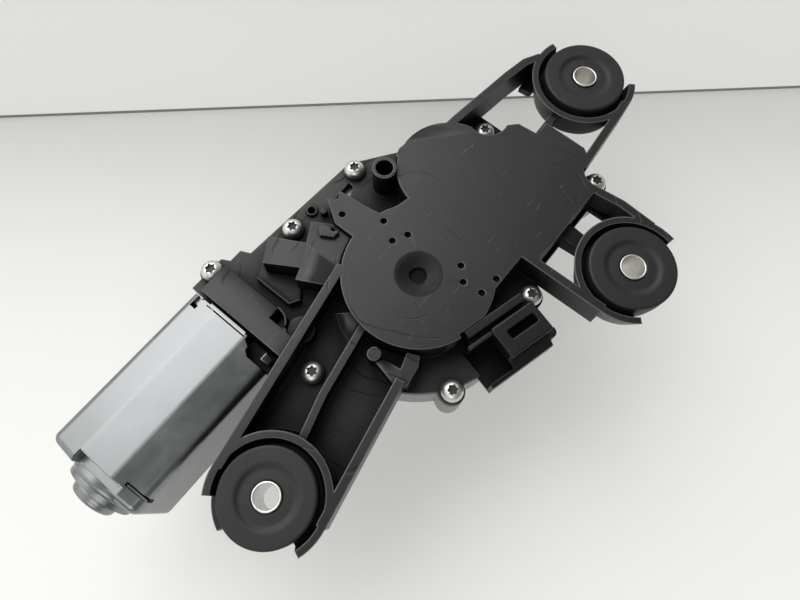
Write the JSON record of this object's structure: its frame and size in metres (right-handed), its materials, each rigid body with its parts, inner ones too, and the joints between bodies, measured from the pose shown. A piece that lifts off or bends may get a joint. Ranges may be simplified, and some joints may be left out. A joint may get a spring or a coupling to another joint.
{
  "type": "wiper motor",
  "caption": "Rear-window wiper motor: round can motor on a bolted gearbox with a moulded cover, three rubber-bushed mounting arms, a plug socket and a threaded output shaft.",
  "frame": {"origin": "on the output shaft's axis, where its cone meets its thread", "axes": "+Z along the output shaft towards the moulded cover, +X along the armature shaft away from the motor can, +Y from the output shaft towards the armature shaft"},
  "size_m": [0.288, 0.1587, 0.0983],
  "materials": {
    "housing_aluminium": "as cast, matt",
    "cover_plastic": "fine moulded grain",
    "gasket_rubber": "matt",
    "connector_plastic": "satin",
    "contact_brass": "tinned",
    "board_laminate": "green laminate",
    "component_case": "moulded",
    "can_steel": "zinc plated",
    "magnet_ferrite": "sintered",
    "holder_plastic": "phenolic",
    "brush_carbon": "carbon",
    "spring_steel": "plain",
    "bush_bronze": "sintered",
    "shaft_steel": "ground",
    "clip_steel": "phosphated",
    "screw_steel": "zinc plated",
    "grommet_rubber": "matt",
    "sleeve_steel": "zinc plated",
    "worm_steel": "rolled",
    "core_steel": "laminated",
    "winding_copper": "enamelled copper",
    "commutator_copper": "turned copper",
    "gear_nylon": "natural nylon",
    "gear_steel": "sintered",
    "link_steel": "pressed"
  },
  "bodies": {
    "motor_body": {"gear_housing": "housing_aluminium", "mounting_cover": "cover_plastic", "cover_gasket": "gasket_rubber", "connector_socket": "connector_plastic", "connector_pins": "contact_brass", "circuit_board": "board_laminate", "board_parts": "component_case", "motor_can": "can_steel", "field_magnets": "magnet_ferrite", "brush_holder": "holder_plastic", "brushes": "brush_carbon", "brush_springs": "spring_steel", "rear_bush": "bush_bronze", "front_bush": "bush_bronze", "end_bush": "bush_bronze", "wheel_axle": "shaft_steel", "axle_clip": "clip_steel", "lower_bush": "bush_bronze", "upper_bush": "bush_bronze", "shaft_seal": "gasket_rubber", "thrust_washer": "clip_steel", "cover_screws": "screw_steel", "grommet_1": "grommet_rubber", "grommet_2": "grommet_rubber", "grommet_3": "grommet_rubber", "grommet_sleeve_1": "sleeve_steel", "grommet_sleeve_2": "sleeve_steel", "grommet_sleeve_3": "sleeve_steel"},
    "armature": {"armature_shaft": "shaft_steel", "worm": "worm_steel", "armature_core": "core_steel", "windings": "winding_copper", "commutator": "commutator_copper"},
    "wheel": {"worm_wheel": "gear_nylon"},
    "output": {"output_shaft": "shaft_steel", "output_pinion": "gear_steel", "shaft_ring": "clip_steel", "link_clip": "clip_steel"},
    "link": {"guide_link": "link_steel", "link_pin": "shaft_steel"},
    "coupler": {"sector_arm": "gear_steel", "crank_pin": "shaft_steel"}
  },
  "joints": [
    {"name": "wheel_spin", "type": "hinge", "parent": "motor_body", "child": "wheel", "pos_m": [0.0465, 0.0195, 0.0575], "axis": [0, 0, 1], "continuous": true},
    {"name": "armature_spin", "type": "hinge", "parent": "motor_body", "child": "armature", "pos_m": [0, 0.04425, 0.0575], "axis": [1, 0, 0], "continuous": true},
    {"name": "output_swing", "type": "hinge", "parent": "motor_body", "child": "output", "pos_m": [0, 0, 0.04], "axis": [0, 0, 1], "range_deg": [0, 116]},
    {"name": "link_swing", "type": "hinge", "parent": "motor_body", "child": "link", "pos_m": [0, 0, 0.069], "axis": [0, 0, 1], "range_deg": [0, 52.1]},
    {"name": "sector_pivot", "type": "hinge", "parent": "link", "child": "coupler", "pos_m": [-0.00147, -0.02195, 0.0655], "axis": [0, 0, 1], "range_deg": [-44.4, 0]}
  ],
  "couplings": [
    {"joint": "wheel_spin", "follows": "armature_spin", "ratio": 0.025},
    {"joint": "link_swing", "follows": "output_swing", "ratio": 0.44851},
    {"joint": "sector_pivot", "follows": "output_swing", "ratio": -0.3818}
  ]
}
